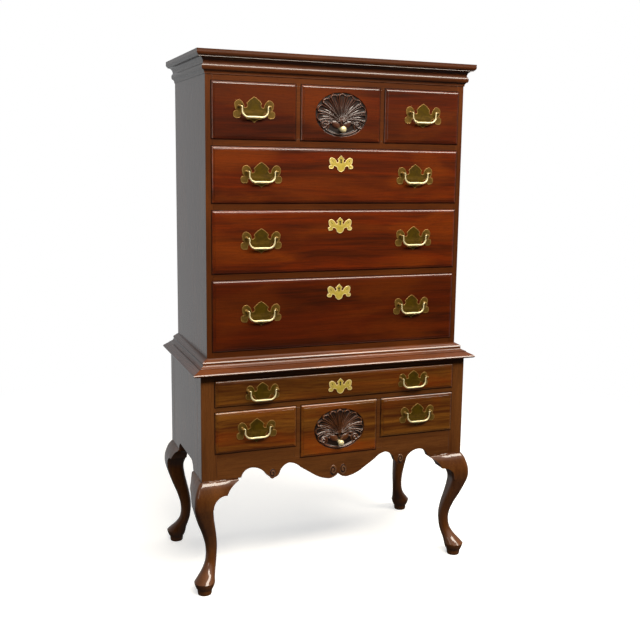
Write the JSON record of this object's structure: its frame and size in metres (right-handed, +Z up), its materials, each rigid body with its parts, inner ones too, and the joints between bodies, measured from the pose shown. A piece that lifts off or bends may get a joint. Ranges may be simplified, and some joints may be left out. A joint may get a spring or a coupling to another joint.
{
  "type": "highboy chest of drawers",
  "caption": "Tall two-part chest of drawers on cabriole legs, with cornice, waist moulding, shell-carved centre drawers, brass bail pulls and scrolled apron.",
  "frame": {"origin": "on the floor, under the middle of the whole piece", "axes": "+Z up, -Y out of the drawer fronts, +X to the right of someone facing the drawers"},
  "size_m": [1.0522, 0.5575, 1.829],
  "materials": {
    "case_wood": "polished dark red-brown mahogany with a gloss finish",
    "front_wood": "polished red-brown mahogany with lively grain",
    "secondary_wood": "plain planed pale secondary wood",
    "plate_brass": "aged olive-toned cast brass",
    "bail_brass": "bright worn brass",
    "knob_brass": "bright turned brass"
  },
  "bodies": {
    "case": {"front_left_leg": "case_wood", "front_right_leg": "case_wood", "back_left_leg": "case_wood", "back_right_leg": "case_wood", "knee_brackets": "case_wood", "lower_side_left": "case_wood", "lower_side_right": "case_wood", "lower_back": "secondary_wood", "apron": "case_wood", "lower_rails": "case_wood", "drawer_runners": "secondary_wood", "waist_moulding": "case_wood", "upper_side_left": "case_wood", "upper_side_right": "case_wood", "upper_back": "secondary_wood", "upper_boards": "secondary_wood", "upper_rails": "case_wood", "cornice": "case_wood"},
    "row_left_drawer": {"row_left_front": "front_wood", "row_left_box": "secondary_wood", "row_left_brasses": "plate_brass"},
    "row_left_bail_body": {"row_left_bail": "bail_brass"},
    "row_shell_drawer": {"row_shell_front": "front_wood", "row_shell_box": "secondary_wood", "row_shell_knob": "knob_brass"},
    "row_right_drawer": {"row_right_front": "front_wood", "row_right_box": "secondary_wood", "row_right_brasses": "plate_brass"},
    "row_right_bail_body": {"row_right_bail": "bail_brass"},
    "first_long_drawer": {"first_long_front": "front_wood", "first_long_box": "secondary_wood", "first_long_brasses": "plate_brass"},
    "first_long_left_bail_body": {"first_long_left_bail": "bail_brass"},
    "first_long_right_bail_body": {"first_long_right_bail": "bail_brass"},
    "second_long_drawer": {"second_long_front": "front_wood", "second_long_box": "secondary_wood", "second_long_brasses": "plate_brass"},
    "second_long_left_bail_body": {"second_long_left_bail": "bail_brass"},
    "second_long_right_bail_body": {"second_long_right_bail": "bail_brass"},
    "third_long_drawer": {"third_long_front": "front_wood", "third_long_box": "secondary_wood", "third_long_brasses": "plate_brass"},
    "third_long_left_bail_body": {"third_long_left_bail": "bail_brass"},
    "third_long_right_bail_body": {"third_long_right_bail": "bail_brass"},
    "base_long_drawer": {"base_long_front": "front_wood", "base_long_box": "secondary_wood", "base_long_brasses": "plate_brass"},
    "base_long_left_bail_body": {"base_long_left_bail": "bail_brass"},
    "base_long_right_bail_body": {"base_long_right_bail": "bail_brass"},
    "base_left_drawer": {"base_left_front": "front_wood", "base_left_box": "secondary_wood", "base_left_brasses": "plate_brass"},
    "base_left_bail_body": {"base_left_bail": "bail_brass"},
    "base_shell_drawer": {"base_shell_front": "front_wood", "base_shell_box": "secondary_wood", "base_shell_knob": "knob_brass"},
    "base_right_drawer": {"base_right_front": "front_wood", "base_right_box": "secondary_wood", "base_right_brasses": "plate_brass"},
    "base_right_bail_body": {"base_right_bail": "bail_brass"}
  },
  "joints": [
    {"name": "row_left_slide", "type": "slide", "parent": "case", "child": "row_left_drawer", "axis": [0, -1, 0], "range_m": [0, 0.33]},
    {"name": "row_left_bail_hinge", "type": "hinge", "parent": "row_left_drawer", "child": "row_left_bail_body", "pos_m": [-0.307, -0.2408, 1.6565], "axis": [-1, 0, 0], "range_deg": [-10, 85]},
    {"name": "row_shell_slide", "type": "slide", "parent": "case", "child": "row_shell_drawer", "axis": [0, -1, 0], "range_m": [0, 0.33]},
    {"name": "row_right_slide", "type": "slide", "parent": "case", "child": "row_right_drawer", "axis": [0, -1, 0], "range_m": [0, 0.33]},
    {"name": "row_right_bail_hinge", "type": "hinge", "parent": "row_right_drawer", "child": "row_right_bail_body", "pos_m": [0.307, -0.2408, 1.6565], "axis": [-1, 0, 0], "range_deg": [-10, 85]},
    {"name": "first_long_slide", "type": "slide", "parent": "case", "child": "first_long_drawer", "axis": [0, -1, 0], "range_m": [0, 0.33]},
    {"name": "first_long_left_bail_hinge", "type": "hinge", "parent": "first_long_drawer", "child": "first_long_left_bail_body", "pos_m": [-0.282, -0.2408, 1.447], "axis": [-1, 0, 0], "range_deg": [-10, 85]},
    {"name": "first_long_right_bail_hinge", "type": "hinge", "parent": "first_long_drawer", "child": "first_long_right_bail_body", "pos_m": [0.282, -0.2408, 1.447], "axis": [-1, 0, 0], "range_deg": [-10, 85]},
    {"name": "second_long_slide", "type": "slide", "parent": "case", "child": "second_long_drawer", "axis": [0, -1, 0], "range_m": [0, 0.33]},
    {"name": "second_long_left_bail_hinge", "type": "hinge", "parent": "second_long_drawer", "child": "second_long_left_bail_body", "pos_m": [-0.282, -0.2408, 1.2285], "axis": [-1, 0, 0], "range_deg": [-10, 85]},
    {"name": "second_long_right_bail_hinge", "type": "hinge", "parent": "second_long_drawer", "child": "second_long_right_bail_body", "pos_m": [0.282, -0.2408, 1.2285], "axis": [-1, 0, 0], "range_deg": [-10, 85]},
    {"name": "third_long_slide", "type": "slide", "parent": "case", "child": "third_long_drawer", "axis": [0, -1, 0], "range_m": [0, 0.33]},
    {"name": "third_long_left_bail_hinge", "type": "hinge", "parent": "third_long_drawer", "child": "third_long_left_bail_body", "pos_m": [-0.282, -0.2408, 0.9825], "axis": [-1, 0, 0], "range_deg": [-10, 85]},
    {"name": "third_long_right_bail_hinge", "type": "hinge", "parent": "third_long_drawer", "child": "third_long_right_bail_body", "pos_m": [0.282, -0.2408, 0.9825], "axis": [-1, 0, 0], "range_deg": [-10, 85]},
    {"name": "base_long_slide", "type": "slide", "parent": "case", "child": "base_long_drawer", "axis": [0, -1, 0], "range_m": [0, 0.33]},
    {"name": "base_long_left_bail_hinge", "type": "hinge", "parent": "base_long_drawer", "child": "base_long_left_bail_body", "pos_m": [-0.285, -0.2688, 0.714], "axis": [-1, 0, 0], "range_deg": [-10, 85]},
    {"name": "base_long_right_bail_hinge", "type": "hinge", "parent": "base_long_drawer", "child": "base_long_right_bail_body", "pos_m": [0.285, -0.2688, 0.714], "axis": [-1, 0, 0], "range_deg": [-10, 85]},
    {"name": "base_left_slide", "type": "slide", "parent": "case", "child": "base_left_drawer", "axis": [0, -1, 0], "range_m": [0, 0.33]},
    {"name": "base_left_bail_hinge", "type": "hinge", "parent": "base_left_drawer", "child": "base_left_bail_body", "pos_m": [-0.305, -0.2688, 0.584], "axis": [-1, 0, 0], "range_deg": [-10, 85]},
    {"name": "base_shell_slide", "type": "slide", "parent": "case", "child": "base_shell_drawer", "axis": [0, -1, 0], "range_m": [0, 0.33]},
    {"name": "base_right_slide", "type": "slide", "parent": "case", "child": "base_right_drawer", "axis": [0, -1, 0], "range_m": [0, 0.33]},
    {"name": "base_right_bail_hinge", "type": "hinge", "parent": "base_right_drawer", "child": "base_right_bail_body", "pos_m": [0.305, -0.2688, 0.584], "axis": [-1, 0, 0], "range_deg": [-10, 85]}
  ]
}
